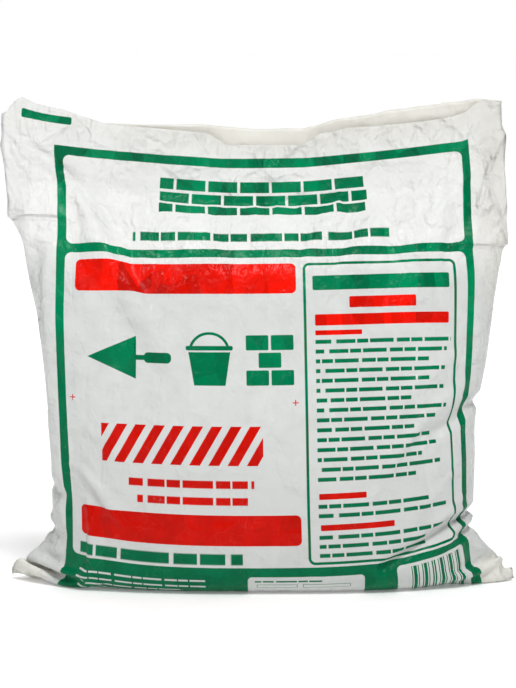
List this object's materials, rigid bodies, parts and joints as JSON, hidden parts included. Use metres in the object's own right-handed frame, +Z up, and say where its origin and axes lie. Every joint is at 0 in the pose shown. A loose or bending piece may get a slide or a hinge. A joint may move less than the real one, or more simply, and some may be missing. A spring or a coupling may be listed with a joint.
{
  "type": "cement bag",
  "caption": "Upright film bag of cement powder, with a bulging printed body, a flat empty head, a slack mouth and an ear at each end of its bottom weld.",
  "frame": {"origin": "on the floor, under the centre of the bag's box", "axes": "+X along the bag's width, to the right when its printed front is seen, +Y from the front to the back, +Z up"},
  "size_m": [0.3036, 0.109, 0.286],
  "materials": {
    "white_film": "printed white polyethylene film, satin, finely creased",
    "grey_cement": "matt grey powder"
  },
  "bodies": {
    "root": {"film_bag": "white_film", "cement_fill": "grey_cement"}
  },
  "joints": []
}
